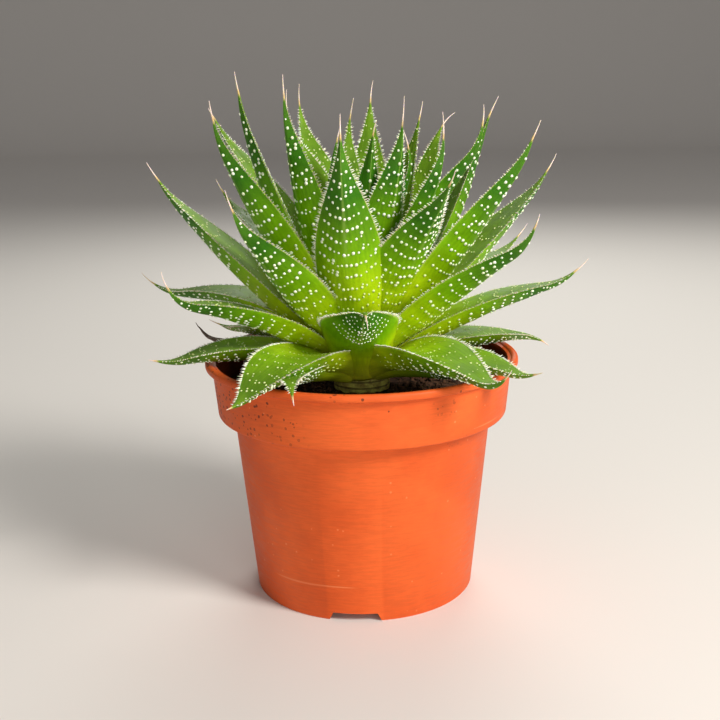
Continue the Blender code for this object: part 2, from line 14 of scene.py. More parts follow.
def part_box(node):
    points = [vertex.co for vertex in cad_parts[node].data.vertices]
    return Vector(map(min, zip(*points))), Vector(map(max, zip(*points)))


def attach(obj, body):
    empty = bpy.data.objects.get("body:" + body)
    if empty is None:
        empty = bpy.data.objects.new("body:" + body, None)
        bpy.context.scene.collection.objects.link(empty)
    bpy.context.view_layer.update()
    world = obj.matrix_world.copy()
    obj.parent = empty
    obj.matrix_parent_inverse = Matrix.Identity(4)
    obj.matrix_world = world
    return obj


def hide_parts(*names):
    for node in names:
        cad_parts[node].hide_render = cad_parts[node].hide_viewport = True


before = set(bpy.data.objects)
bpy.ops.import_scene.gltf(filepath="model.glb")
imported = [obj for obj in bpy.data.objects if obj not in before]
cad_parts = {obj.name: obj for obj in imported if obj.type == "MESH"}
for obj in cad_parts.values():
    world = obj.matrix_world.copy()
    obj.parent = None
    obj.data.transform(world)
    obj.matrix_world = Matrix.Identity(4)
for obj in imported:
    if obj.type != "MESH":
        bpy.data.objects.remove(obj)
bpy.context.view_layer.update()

MM = 0.001
BODY = "root"
UP = Vector((0, 0, 1))

# Blender seeds its noise vectors from the clock unless a seed is set. They shape the bark chips and
# the dry leaves.
NOISE_SEED = 1795624325

# Camera
FOCAL_MM = 60.0
SENSOR_MM = 36.0
IMAGE_WIDTH = 720
CAMERA_DISTANCE = 463.8
CAMERA_ELEVATION = 14.14
CAMERA_AIM_HEIGHT = 89.1
CAMERA_ROLL = -0.88
PICTURE_SHIFT_PX = 1.54

# Floor and wall, in metres
FLOOR_REACH = 2.2
SWEEP_RADIUS = 0.7
SWEEP_STEPS = 24

# Each light's name, place, aim and size in metres, power in watts, and colour
LIGHTS = [
    ("key", (0.70, -0.60, 0.75), (0, 0, 0.12), 0.4, 14, (1.0, 0.96, 0.9)),
    ("fill", (-0.9, -0.7, 0.35), (0, 0, 0.1), 0.9, 0.6, (0.95, 0.98, 1.0)),
    ("low fill", (0.25, -0.95, 0.22), (0, 0, 0.09), 0.5, 3.4, (1.0, 0.98, 0.92)),
    ("rim", (0.1, 0.8, 0.7), (0, 0, 0.14), 0.6, 4.5, (1.0, 1.0, 0.94)),
]
WORLD_LIGHT = 0.24

# Pot
LIP_RADIUS = 60.0
LIP_TOP = 91.8
LIP_DEPTH = 2.9
WALL = 1.2
COLLAR_TOP_RADIUS = 57.3
COLLAR_LOW_RADIUS = 55.7
COLLAR_LOW_HEIGHT = 71.0
BODY_TOP_RADIUS = 49.6
BODY_TOP_HEIGHT = 69.6
BASE_RADIUS = 42.5
FLOOR_HEIGHT = 3.4
FLOOR_THICKNESS = 1.3
NOTCH_COUNT = 3
NOTCH_AZIMUTH = -95.0
NOTCH_WIDTH = 20.5
NOTCH_TOP_WIDTH = 16.5
NOTCH_HEIGHT = 3.1
NOTCH_DEPTH = 10.0
DRAIN_COUNT = 6
DRAIN_RADIUS = 3.2
DRAIN_CIRCLE = 27.0
POT_STEPS = 144
SHARP_ANGLE = 40

# Soil
SOIL_TOP = 79.0
SOIL_RELIEF = 1.0
SOIL_STEPS = 120
SOIL_RINGS = 34
STEM_RADIUS = 10.8
GAP = 0.35
CRUMB_COUNT = 1500
CRUMBS_FROM = 13.5
CRUMBS_TO = 52.8
CRUMB_LEAST = 0.35
CRUMB_RANGE = 1.1
FIBRE_COUNT = 70
FIBRES_FROM = 16.0
FIBRES_TO = 51.0
FIBRE_RADIUS = 0.13
FIBRE_RISE = 0.45
FIBRE_STEP = 0.9
FIBRE_STEPS = 8

# Leaves
CROWN_BASE = 84.0
CROWN_RISE = 9.0
CROWN_RADIUS = 10.0
CROWN_TAPER = 7.0
ARCH_END = 0.85
AWN_RADIUS = 0.36
TIP_SPAN = 0.52
TIP_POWER = 1.35
THICKNESS = 0.26
THICKNESS_POWER = 0.7
WALK_STEP = 2.0
BLADE_RINGS = 52
AWN_RINGS = 10
BLADE_SIDES = 28
AWN_CURL = 22.0

# Teeth and spots. Where they start and end is a fraction of the blade. A leaf shorter than
# LONG_LEAF has finer spots, and more of its base is bare.
TOOTH_PITCH = 0.95
TOOTH_LENGTH = 1.35
TOOTH_RADIUS = 0.34
TOOTH_ROOT = 0.4
TOOTHED_SHARE = 0.92
TEETH_FROM = 0.07
TEETH_SPAN = 0.91
SPOT_ROW_PITCH = 5.0
SPOT_SPACING = 1.8
SPOT_RADIUS = 0.66
SPOT_BOW = 3.2
SPOT_SCATTER = 0.5
SPOTS_FROM = 0.12
FACE_SPOTS_FROM = 0.15
SPOTS_TO = 0.955
LAST_SPOT = 0.975
LONG_LEAF = 88.0
SHORT_LEAF_BARE = 1.4
SPOT_SKIN = 1
TOOTH_SKIN = 2

# A leaf leaves the stem at an azimuth, starts at the base pitch, reaches the tip pitch near the
# blade's end and the awn pitch at the end of its awn, and its heading turns by the sweep. The cup
# is how far its margins stand above the middle of its face, as a share of its half width. The foot
# is the least share of its width and thickness that it keeps where it clasps the stem.
Leaf = namedtuple(
    "Leaf", "name azimuth length width base_pitch tip_pitch awn_pitch sweep awn cup foot",
    defaults=[0.2, 0.0])
LEAVES = [
    Leaf("leaf_heart_1", 120, 88, 15, 90, 84, 120, 2, 8),
    Leaf("leaf_heart_2", -76, 86, 14, 90, 69, 56, 0, 6),
    Leaf("leaf_heart_3", -3, 79, 12, 87, 69, 115, 0, 7),
    Leaf("leaf_heart_4", -148, 82, 14, 77, 92, 107, 0, 5),
    Leaf("leaf_heart_5", 136, 97, 18, 90, 50, 100, 4, 9),
    Leaf("leaf_heart_6", 120, 101, 20, 83, 53, 100, 8, 8),
    Leaf("leaf_heart_7", -52, 90, 20, 84, 68, 88, -1, 10),
    Leaf("leaf_heart_8", -15, 98, 22, 83, 45, 95, 0, 7),
    Leaf("leaf_heart_9", 44, 92, 16, 76, 69, 73, -3, 7),
    Leaf("leaf_inner_1", -142, 102, 20, 73, 73, 91, 0, 8),
    Leaf("leaf_inner_2", -38, 90, 17, 72, 63, 100, 3, 9),
    Leaf("leaf_inner_3", -56, 91, 24, 70, 37, 49, -8, 7),
    Leaf("leaf_inner_4", 144, 109, 20, 67, 45, 60, 9, 5),
    Leaf("leaf_inner_5", -176, 107, 20, 66, 70, 83, 1, 8),
    Leaf("leaf_inner_6", 83, 103, 20, 63, 72, 51, 1, 10),
    Leaf("leaf_inner_7", -146, 107, 22, 62, 55, 84, 0, 7),
    Leaf("leaf_inner_8", 138, 92, 20, 61, 23, 63, 4, 6),
    Leaf("leaf_inner_9", 9, 101, 20, 60, 67, 64, 0, 8),
    Leaf("leaf_middle_1", -98, 98, 24, 59, 63, 98, 3, 8),
    Leaf("leaf_middle_2", -29, 106, 22, 58, 48, 69, -2, 7),
    Leaf("leaf_middle_3", -135, 87, 24, 57, 37, 74, 8, 8),
    Leaf("leaf_middle_4", 54, 102, 20, 55, 61, 24, 4, 10),
    Leaf("leaf_middle_5", -35, 89, 22, 52, 26, 76, -2, 5),
    Leaf("leaf_middle_6", 18, 101, 22, 49, 37, 59, 6, 8),
    Leaf("leaf_middle_7", 177, 99, 23, 48, 41, 60, -6, 8),
    Leaf("leaf_middle_8", 69, 76, 22, 50, 28, 56, 0, 7),
    Leaf("leaf_middle_9", 122, 76, 21, 48, 18, 56, 0, 7),
    Leaf("leaf_outer_1", -93, 56, 28, 46, 26, -40, 10, 7, 0.5, 0.95),
    Leaf("leaf_outer_2", 162, 88, 20, 48, -8, 47, 2, 7),
    Leaf("leaf_outer_3", -154, 83, 21, 45, 8, 83, 14, 7),
    Leaf("leaf_outer_4", -5, 83, 20, 42, 10, 52, 1, 7),
    Leaf("leaf_outer_5", 36, 86, 21, 41, 17, 50, 0, 7),
    Leaf("leaf_outer_6", -61, 79, 24, 36, -20, 64, 14, 4, 0.45, 0.85),
    Leaf("leaf_outer_7", 90, 68, 22, 42, 11, 50, 0, 7),
    Leaf("leaf_outer_8", -123, 79, 26, 35, -23, -4, 3, 2, 0.3, 0.8),
    Leaf("leaf_low_1", -166, 73, 21, 31, -15, 16, 2, 3),
    Leaf("leaf_low_2", 112, 68, 20, 30, -10, 20, 0, 6),
    Leaf("leaf_low_3", -34, 72, 19, 28, -12, 26, -13, 4),
    Leaf("leaf_low_4", 11, 69, 19, 28, -11, -40, 6, 4),
    Leaf("leaf_low_5", 48, 74, 20, 27, -12, 20, 0, 6),
    Leaf("leaf_low_6", 81, 63, 20, 32, -10, 20, 0, 5),
    Leaf("leaf_low_7", 142, 70, 19, 29, -14, 20, 0, 6),
    Leaf("leaf_low_8", -134, 67, 18, 20, 2, -60, 56, 3, 0.35, 0.9),
    Leaf("leaf_low_9", -42, 58, 20, 24, -5, 3, -20, 4, 0.35, 0.8),
]

DRY_LEAVES = [
    Leaf("dry_leaf_1", 166, 60, 8, 12, 9, 60, -4, 3, 0.4),
    Leaf("dry_leaf_2", 153, 43, 7, 10, 8, -30, 0, 3, 0.4),
]

# A chip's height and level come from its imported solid
Chip = namedtuple("Chip", "name azimuth distance length width turn")
CHIPS = [
    Chip("bark_chip_1", 160, 50.0, 7.0, 3.4, 70),
    Chip("bark_chip_2", -140, 40.0, 6.0, 3.6, 10),
    Chip("bark_chip_3", -46, 44.0, 7.0, 3.2, 35),
    Chip("bark_chip_4", -84, 34.0, 5.0, 3.4, -30),
    Chip("bark_chip_5", 30, 45.0, 6.5, 4.0, -60),
]


def smooth(x):
    x = min(max(x, 0.0), 1.0)
    return x * x * (3 - 2 * x)


def polar(radius, azimuth, height):
    angle = math.radians(azimuth)
    return Vector((radius * math.cos(angle), radius * math.sin(angle), height))


def srgb(red, green, blue):
    """A colour as the eye reads it, 0 to 255, as the linear colour that a shader takes."""
    values = [value / 255 for value in (red, green, blue)]
    linear = [v / 12.92 if v < 0.04045 else ((v + 0.055) / 1.055) ** 2.4 for v in values]
    return (*linear, 1.0)


# Camera, floor and lights

def make_camera():
    data = bpy.data.cameras.new("camera")
    data.lens = FOCAL_MM
    data.sensor_width = SENSOR_MM
    data.shift_x = -PICTURE_SHIFT_PX / IMAGE_WIDTH
    camera = bpy.data.objects.new("camera", data)
    bpy.context.scene.collection.objects.link(camera)
    tilt = math.radians(CAMERA_ELEVATION)
    aim = Vector((0, 0, CAMERA_AIM_HEIGHT))
    place = aim + Vector((0, -math.cos(tilt), math.sin(tilt))) * CAMERA_DISTANCE
    facing = (aim - place).to_track_quat("-Z", "Y").to_matrix().to_4x4()
    roll = Matrix.Rotation(math.radians(CAMERA_ROLL), 4, "Z")
    camera.matrix_world = Matrix.Translation(place * MM) @ facing @ roll
    bpy.context.scene.camera = camera


def make_light(name, place, aim, size, power, colour):
    data = bpy.data.lights.new(name, "AREA")
    data.shape = "DISK"
    data.size = size
    data.energy = power
    data.color = colour
    light = bpy.data.objects.new(name, data)
    light.location = place
    light.rotation_euler = (Vector(aim) - Vector(place)).to_track_quat("-Z", "Y").to_euler()
    bpy.context.scene.collection.objects.link(light)


def make_studio():
    world = bpy.data.worlds.new("studio")
    bpy.context.scene.world = world
    world.use_nodes = True
    background = world.node_tree.nodes["Background"]
    background.inputs["Color"].default_value = srgb(226, 224, 222)
    background.inputs["Strength"].default_value = WORLD_LIGHT
    for light in LIGHTS:
        make_light(*light)
    bpy.context.scene.view_settings.view_transform = "Standard"
    make_piece("floor", studio_sweep(), [floor_material()], scale=1.0)


def studio_sweep():
    """A floor that curves up into a wall behind the object."""
    bm = bmesh.new()
    bmesh.ops.create_grid(bm, x_segments=1, y_segments=1, size=FLOOR_REACH)
    far = [edge for edge in bm.edges if all(v.co.y > FLOOR_REACH - 0.01 for v in edge.verts)]
    curve = bmesh.ops.spin(bm, geom=far, cent=(0, FLOOR_REACH, SWEEP_RADIUS), axis=(1, 0, 0),
                           angle=math.pi / 2, steps=SWEEP_STEPS)
    top = [item for item in curve["geom_last"] if isinstance(item, bmesh.types.BMEdge)]
    wall = bmesh.ops.extrude_edge_only(bm, edges=top)["geom"]
    bmesh.ops.translate(bm, vec=(0, 0, FLOOR_REACH),
                        verts=[item for item in wall if isinstance(item, bmesh.types.BMVert)])
    bmesh.ops.recalc_face_normals(bm, faces=bm.faces)
    return bm


# Pieces

def make_piece(name, bm, materials, scale=MM):
    """Turns a bmesh into an object at the origin, with smooth faces."""
    bmesh.ops.scale(bm, vec=(scale, scale, scale), verts=bm.verts)
    for face in bm.faces:
        face.smooth = True
    mesh = bpy.data.meshes.new(name)
    bm.to_mesh(mesh)
    bm.free()
    for material in materials:
        mesh.materials.append(material)
    obj = bpy.data.objects.new(name, mesh)
    bpy.context.scene.collection.objects.link(obj)
    return obj


def finish_piece(obj, slot, *nodes):
    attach(obj, BODY)
    if nodes:
        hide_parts(*nodes)


# Shader nodes

def node(tree, kind, inputs=None, **settings):
    """Adds a node: a socket is linked to an input, and any other value is set on it."""
    made = tree.nodes.new(kind)
    for name, value in settings.items():
        setattr(made, name, value)
    for key, value in (inputs or {}).items():
        if isinstance(value, bpy.types.NodeSocket):
            tree.links.new(value, made.inputs[key])
        else:
            made.inputs[key].default_value = value
    return made


def maths(tree, operation, first, second=0.0):
    return node(tree, "ShaderNodeMath", {0: first, 1: second}, operation=operation).outputs[0]


def blend(tree, share, first, second, mode="MIX"):
    """Mixes two colours, through the Mix node's colour sockets."""
    made = node(tree, "ShaderNodeMix", {"Factor": share, 6: first, 7: second},
                data_type="RGBA", blend_type=mode)
    return made.outputs[2]


def span(tree, value, low, high, start=0.0, end=1.0):
    """Eases a value between two limits to the range from start to end."""
    made = node(tree, "ShaderNodeMapRange", {"Value": value, "From Min": low, "From Max": high,
                                             "To Min": start, "To Max": end},
                interpolation_type="SMOOTHSTEP")
    return made.outputs["Result"]


def attribute(tree, name):
    return node(tree, "ShaderNodeAttribute", attribute_name=name).outputs["Fac"]


def new_group(name, inputs, outputs):
    group = bpy.data.node_groups.new(name, "ShaderNodeTree")
    for label, kind, value in inputs:
        socket = group.interface.new_socket(label, in_out="INPUT", socket_type=kind)
        if value is not None:
            socket.default_value = value
    for label, kind in outputs:
        group.interface.new_socket(label, in_out="OUTPUT", socket_type=kind)
    return group, node(group, "NodeGroupInput"), node(group, "NodeGroupOutput")


def mottle_group():
    """Soft patches of two colours, with the height that goes with them."""
    group, source, sink = new_group(
        "mottle",
        [("Vector", "NodeSocketVector", None), ("Scale", "NodeSocketFloat", 100.0),
         ("Light", "NodeSocketColor", None), ("Dark", "NodeSocketColor", None)],
        [("Color", "NodeSocketColor"), ("Height", "NodeSocketFloat")])
    cloud = node(group, "ShaderNodeTexNoise", {"Vector": source.outputs["Vector"],
                                               "Scale": source.outputs["Scale"],
                                               "Detail": 5.0, "Roughness": 0.6})
    share = span(group, cloud.outputs["Fac"], 0.35, 0.65)
    group.links.new(blend(group, share, source.outputs["Dark"], source.outputs["Light"]),
                    sink.inputs["Color"])
    group.links.new(cloud.outputs["Fac"], sink.inputs["Height"])
    return group


def speck_group():
    """A mask of small scattered specks."""
    group, source, sink = new_group(
        "specks",
        [("Vector", "NodeSocketVector", None), ("Scale", "NodeSocketFloat", 300.0),
         ("Size", "NodeSocketFloat", 0.2), ("Amount", "NodeSocketFloat", 0.1)],
        [("Mask", "NodeSocketFloat")])
    warp = node(group, "ShaderNodeTexNoise", {"Vector": source.outputs["Vector"],
                                              "Scale": source.outputs["Scale"]})
    cells = node(group, "ShaderNodeTexVoronoi", {"Vector": source.outputs["Vector"],
                                                 "Scale": source.outputs["Scale"]})
    reach = maths(group, "MULTIPLY", source.outputs["Size"],
                  maths(group, "MULTIPLY", warp.outputs["Fac"], 2.0))
    inside = maths(group, "LESS_THAN", cells.outputs["Distance"], reach)
    draw = node(group, "ShaderNodeSeparateColor", {"Color": cells.outputs["Color"]})
    chosen = maths(group, "LESS_THAN", draw.outputs["Red"], source.outputs["Amount"])
    group.links.new(maths(group, "MULTIPLY", inside, chosen), sink.inputs["Mask"])
    return group


MOTTLE = mottle_group()
SPECKS = speck_group()


def mottle(tree, vector, scale, light, dark):
    made = node(tree, "ShaderNodeGroup",
                {"Vector": vector, "Scale": scale, "Light": light, "Dark": dark}, node_tree=MOTTLE)
    return made.outputs["Color"], made.outputs["Height"]


def specks(tree, vector, scale, size, amount):
    made = node(tree, "ShaderNodeGroup",
                {"Vector": vector, "Scale": scale, "Size": size, "Amount": amount},
                node_tree=SPECKS)
    return made.outputs["Mask"]


def new_material(name, roughness, specular=0.5):
    """A material with its tree, its Principled shader and its Object coordinates."""
    material = bpy.data.materials.new(name)
    material.use_nodes = True
    tree = material.node_tree
    shader = tree.nodes["Principled BSDF"]
    shader.inputs["Roughness"].default_value = roughness
    shader.inputs["Specular IOR Level"].default_value = specular
    place = node(tree, "ShaderNodeTexCoord").outputs["Object"]
    return material, tree, shader, place


def bump(tree, shader, height, strength, distance):
    made = node(tree, "ShaderNodeBump", {"Height": height, "Strength": strength,
                                         "Distance": distance})
    tree.links.new(made.outputs["Normal"], shader.inputs["Normal"])


# Materials

def floor_material():
    material, _, shader, _ = new_material("pale_floor", 0.85, 0.2)
    shader.inputs["Base Color"].default_value = srgb(222, 218, 214)
    return material


def leaf_material():
    """Green skin: lime at the base, darker to the tip, with pale margins and a straw-pink awn."""
    material, tree, shader, place = new_material("leaf_skin", 0.52, 0.14)
    along = attribute(tree, "along")
    across = maths(tree, "ABSOLUTE", attribute(tree, "across"))
    face = attribute(tree, "face")
    tone = attribute(tree, "tone")
    ramp = node(tree, "ShaderNodeValToRGB", {"Fac": along})
    stops = [(0.0, srgb(208, 210, 44)), (0.34, srgb(174, 200, 10)), (0.56, srgb(116, 166, 6)),
             (0.8, srgb(48, 104, 10)), (0.95, srgb(68, 114, 24))]
    elements = ramp.color_ramp.elements
    elements[0].position, elements[0].color = stops[0]
    elements[1].position, elements[1].color = stops[-1]
    for position, colour in stops[1:-1]:
        elements.new(position).color = colour
    pale = blend(tree, span(tree, along, 0.1, 0.6, 0.1, 0.7), ramp.outputs["Color"],
                 srgb(146, 176, 44))
    skin = blend(tree, maths(tree, "MAXIMUM", maths(tree, "MULTIPLY", face, 0.5), tone),
                 ramp.outputs["Color"], pale)
    cloudy, height = mottle(tree, place, 110.0, (1.16, 1.14, 1.1, 1), (0.84, 0.87, 0.88, 1))
    skin = blend(tree, 1.0, skin, cloudy, "MULTIPLY")
    streak = node(tree, "ShaderNodeCombineXYZ", {"X": maths(tree, "MULTIPLY", across, 9.0),
                                                 "Y": maths(tree, "MULTIPLY", along, 3.0)})
    lines, _ = mottle(tree, streak.outputs[0], 1.6, (1.1, 1.1, 1.05, 1), (0.9, 0.92, 0.92, 1))
    skin = blend(tree, 1.0, skin, lines, "MULTIPLY")
    keel = maths(tree, "MULTIPLY", span(tree, across, 0.1, 0.02),
                 maths(tree, "MULTIPLY", span(tree, along, 0.45, 0.75, 0.0, 0.3),
                       maths(tree, "SUBTRACT", 1.0, face)))
    skin = blend(tree, keel, skin, srgb(168, 196, 96))
    margin = span(tree, across, 0.95, 0.995, 0.0, 0.7)
    skin = blend(tree, margin, skin, srgb(196, 212, 104))
    skin = blend(tree, span(tree, along, 0.985, 1.005), skin, srgb(214, 180, 132))
    skin = blend(tree, span(tree, along, 1.005, 1.03), skin, srgb(238, 214, 200))
    tree.links.new(skin, shader.inputs["Base Color"])
    tree.links.new(span(tree, height, 0.3, 0.7, 0.42, 0.56), shader.inputs["Roughness"])
    shader.inputs["Subsurface Weight"].default_value = 0.25
    shader.inputs["Subsurface Radius"].default_value = (0.6, 1.0, 0.12)
    shader.inputs["Subsurface Scale"].default_value = 0.0025
    grain = node(tree, "ShaderNodeTexNoise", {"Vector": place, "Scale": 900.0, "Detail": 3.0})
    bump(tree, shader, grain.outputs["Fac"], 0.12, 0.0004)
    return material


def spot_material():
    """Raised white flecks, greener towards the base of the leaf and on its face."""
    material, tree, shader, place = new_material("leaf_flecks", 0.5, 0.4)
    fade = span(tree, attribute(tree, "along"), 0.2, 0.62, 0.05, 1.0)
    fade = maths(tree, "MULTIPLY", fade, span(tree, attribute(tree, "face"), 0.0, 1.0, 1.0, 0.45))
    white, _ = mottle(tree, place, 260.0, srgb(250, 252, 238), srgb(228, 238, 198))
    tree.links.new(blend(tree, fade, srgb(196, 212, 66), white), shader.inputs["Base Color"])
    shader.inputs["Subsurface Weight"].default_value = 0.1
    shader.inputs["Subsurface Scale"].default_value = 0.001
    return material


def tooth_material():
    """Horny white teeth, some with a warmer point."""
    material, tree, shader, place = new_material("leaf_teeth", 0.42, 0.5)
    colour, _ = mottle(tree, place, 140.0, srgb(246, 246, 230), srgb(222, 218, 190))
    tree.links.new(colour, shader.inputs["Base Color"])
    shader.inputs["Subsurface Weight"].default_value = 0.15
    shader.inputs["Subsurface Scale"].default_value = 0.001
    return material


def dry_material():
    """Withered brown skin with darker and greyer streaks."""
    material, tree, shader, _ = new_material("withered_skin", 0.8, 0.25)
    streak = node(tree, "ShaderNodeCombineXYZ", {
        "X": maths(tree, "MULTIPLY", attribute(tree, "across"), 6.0),
        "Y": maths(tree, "MULTIPLY", attribute(tree, "along"), 5.0)})
    colour, height = mottle(tree, streak.outputs[0], 2.2, srgb(132, 110, 96), srgb(58, 40, 36))
    tree.links.new(colour, shader.inputs["Base Color"])
    bump(tree, shader, height, 0.6, 0.0008)
    return material


def inner_wall(tree, parts):
    """A mask of the collar's inner side, which follows the taper of its wall."""
    taper = (COLLAR_TOP_RADIUS - COLLAR_LOW_RADIUS) / (LIP_TOP - COLLAR_LOW_HEIGHT)
    squares = maths(tree, "ADD", maths(tree, "POWER", parts["X"], 2.0),
                    maths(tree, "POWER", parts["Y"], 2.0))
    upright = maths(tree, "SUBTRACT", maths(tree, "POWER", squares, 0.5),
                    maths(tree, "MULTIPLY", parts["Z"], taper))
    middle = COLLAR_LOW_RADIUS - taper * COLLAR_LOW_HEIGHT - WALL / 2
    inside = span(tree, upright, (middle - 0.2) * MM, (middle + 0.2) * MM, 1.0, 0.0)
    below_lip = span(tree, parts["Z"], (LIP_TOP - 3.0) * MM, (LIP_TOP - 0.8) * MM, 1.0, 0.0)
    above_ledge = span(tree, parts["Z"], (COLLAR_LOW_HEIGHT + 2) * MM, (COLLAR_LOW_HEIGHT + 4) * MM)
    return maths(tree, "MULTIPLY", inside, maths(tree, "MULTIPLY", below_lip, above_ledge))


def pot_material():
    """Satin orange plastic with scratches, scuffs and flecks of soil, with soil stain and painted
    shade on the inside.
    """
    material, tree, shader, place = new_material("terracotta_plastic", 0.52, 0.16)
    colour, _ = mottle(tree, place, 26.0, srgb(222, 98, 44), srgb(208, 86, 36))
    long_grain = node(tree, "ShaderNodeMapping", {"Vector": place, "Scale": (1.0, 1.0, 9.0)})
    scratches, scratch = mottle(tree, long_grain.outputs[0], 160.0, (1.06, 1.06, 1.06, 1),
                                (0.95, 0.94, 0.93, 1))
    colour = blend(tree, 1.0, colour, scratches, "MULTIPLY")
    parts = node(tree, "ShaderNodeSeparateXYZ", {"Vector": place}).outputs
    upper = span(tree, parts["Z"], 0.060, 0.080)
    patch = node(tree, "ShaderNodeTexNoise", {"Vector": place, "Scale": 34.0}).outputs["Fac"]
    fine_dirt = maths(tree, "MULTIPLY", specks(tree, place, 620.0, 0.32, 0.42),
                      span(tree, patch, 0.46, 0.6))
    dirt = maths(tree, "MAXIMUM", fine_dirt, specks(tree, place, 330.0, 0.19, 0.06))
    dirt = maths(tree, "MULTIPLY", dirt, upper)
    colour = blend(tree, maths(tree, "MULTIPLY", dirt, 0.8), colour, srgb(70, 38, 26))
    dust = maths(tree, "MULTIPLY", specks(tree, place, 520.0, 0.2, 0.05), 0.4)
    rubbed = node(tree, "ShaderNodeMapping", {"Vector": place, "Scale": (14.0, 14.0, 420.0),
                                              "Rotation": (0.0, 0.2, 0.0)})
    scuff = node(tree, "ShaderNodeTexNoise", {"Vector": rubbed.outputs[0], "Scale": 1.0})
    dust = maths(tree, "MAXIMUM", dust, span(tree, scuff.outputs["Fac"], 0.69, 0.76, 0.0, 0.4))
    colour = blend(tree, dust, colour, srgb(238, 150, 100))
    # The collar's inner wall under the lip is darkened: painted shade, with some soil stain.
    stain_and_shade, _ = mottle(tree, place, 90.0, srgb(112, 42, 18), srgb(46, 22, 14))
    colour = blend(tree, maths(tree, "MULTIPLY", inner_wall(tree, parts), 0.85), colour, stain_and_shade)
    tree.links.new(colour, shader.inputs["Base Color"])
    tree.links.new(span(tree, scratch, 0.3, 0.7, 0.42, 0.6), shader.inputs["Roughness"])
    fine = node(tree, "ShaderNodeTexNoise", {"Vector": place, "Scale": 700.0, "Detail": 4.0})
    bump(tree, shader, fine.outputs["Fac"], 0.08, 0.0005)
    return material


def soil_material(name, light, dark):
    material, tree, shader, place = new_material(name, 0.95, 0.15)
    colour, _ = mottle(tree, place, 420.0, light, dark)
    tree.links.new(colour, shader.inputs["Base Color"])
    grain = node(tree, "ShaderNodeTexNoise", {"Vector": place, "Scale": 1400.0, "Detail": 6.0})
    bump(tree, shader, grain.outputs["Fac"], 0.7, 0.001)
    return material


def bark_material():
    material, tree, shader, place = new_material("bark", 0.85, 0.2)
    layers = node(tree, "ShaderNodeMapping", {"Vector": place, "Scale": (1.0, 1.0, 4.0)})
    colour, height = mottle(tree, layers.outputs[0], 380.0, srgb(150, 78, 58), srgb(70, 36, 30))
    tree.links.new(colour, shader.inputs["Base Color"])
    bump(tree, shader, height, 0.8, 0.001)
    return material


def stem_material():
    """The old foot of the rosette: pale olive with dark rings of leaf scars."""
    material, tree, shader, place = new_material("stem_skin", 0.7, 0.3)
    colour, height = mottle(tree, place, 300.0, srgb(196, 192, 92), srgb(138, 122, 58))
    high = node(tree, "ShaderNodeSeparateXYZ", {"Vector": place}).outputs["Z"]
    rings = maths(tree, "SINE", maths(tree, "MULTIPLY", high, 2600.0))
    scars = span(tree, rings, 0.3, 0.95, 0.0, 0.6)
    colour = blend(tree, scars, colour, srgb(40, 28, 20))
    tree.links.new(colour, shader.inputs["Base Color"])
    bump(tree, shader, maths(tree, "SUBTRACT", height, scars), 0.6, 0.001)
    return material


# Pot

def pot_profile():
    """Radius and height round the wall's section, from the floor's middle and back to it."""
    floor_top = FLOOR_HEIGHT + FLOOR_THICKNESS
    slope = (BODY_TOP_RADIUS - BASE_RADIUS) / BODY_TOP_HEIGHT
    inner = [(0, floor_top), (BASE_RADIUS + slope * floor_top - WALL - 1.0, floor_top),
             (BASE_RADIUS + slope * (floor_top + 1.0) - WALL, floor_top + 1.0),
             (BODY_TOP_RADIUS - WALL, BODY_TOP_HEIGHT + 1.0),
             (COLLAR_LOW_RADIUS - 0.8 - WALL, COLLAR_LOW_HEIGHT + 0.7),
             (COLLAR_LOW_RADIUS - WALL, COLLAR_LOW_HEIGHT + 1.4),
             (COLLAR_TOP_RADIUS - WALL, LIP_TOP - 1.0)]
    lip = [(LIP_RADIUS - 1.5 - 1.2 * math.cos(math.radians(turn)),
            LIP_TOP - 0.9 + 0.9 * math.sin(math.radians(turn))) for turn in (10, 35, 65, 90)]
    lip += [(LIP_RADIUS - 1.1 + 1.1 * math.sin(math.radians(turn)),
             LIP_TOP - 1.1 + 1.1 * math.cos(math.radians(turn))) for turn in (10, 35, 60, 85)]
    bead = LIP_TOP - LIP_DEPTH
    lip += [(LIP_RADIUS, bead + 0.7), (LIP_RADIUS - 0.15, bead + 0.3), (LIP_RADIUS - 0.6, bead),
            (COLLAR_TOP_RADIUS + 0.5, bead - 0.1), (COLLAR_TOP_RADIUS + 0.1, bead - 0.4)]
    shoulder = [(COLLAR_LOW_RADIUS, COLLAR_LOW_HEIGHT + 0.4),
                (COLLAR_LOW_RADIUS - 0.1, COLLAR_LOW_HEIGHT - 0.1),
                (COLLAR_LOW_RADIUS - 0.35, COLLAR_LOW_HEIGHT - 0.5),
                (COLLAR_LOW_RADIUS - 0.8, COLLAR_LOW_HEIGHT - 0.72),
                (BODY_TOP_RADIUS + 0.8, BODY_TOP_HEIGHT + 0.1),
                (BODY_TOP_RADIUS + 0.2, BODY_TOP_HEIGHT - 0.2),
                (BODY_TOP_RADIUS - 0.1, BODY_TOP_HEIGHT - 1.0)]
    foot = [(BASE_RADIUS + 0.1, 0.4), (BASE_RADIUS - 0.2, 0.0), (BASE_RADIUS - WALL + 0.1, 0.0),
            (BASE_RADIUS - WALL, 0.2), (BASE_RADIUS - WALL, FLOOR_HEIGHT), (0, FLOOR_HEIGHT)]
    return inner + lip + shoulder + foot


def turn_profile(profile, steps):
    """A closed body of revolution about Z, from radius and height pairs in millimetres."""
    bm = bmesh.new()
    points = [bm.verts.new((radius, 0, height)) for radius, height in profile]
    edges = [bm.edges.new(pair) for pair in zip(points, points[1:])]
    bmesh.ops.spin(bm, geom=points + edges, cent=(0, 0, 0), axis=UP, angle=math.tau,
                   steps=steps, use_merge=True)
    bmesh.ops.remove_doubles(bm, verts=bm.verts, dist=0.002)
    bmesh.ops.recalc_face_normals(bm, faces=bm.faces)
    return bm


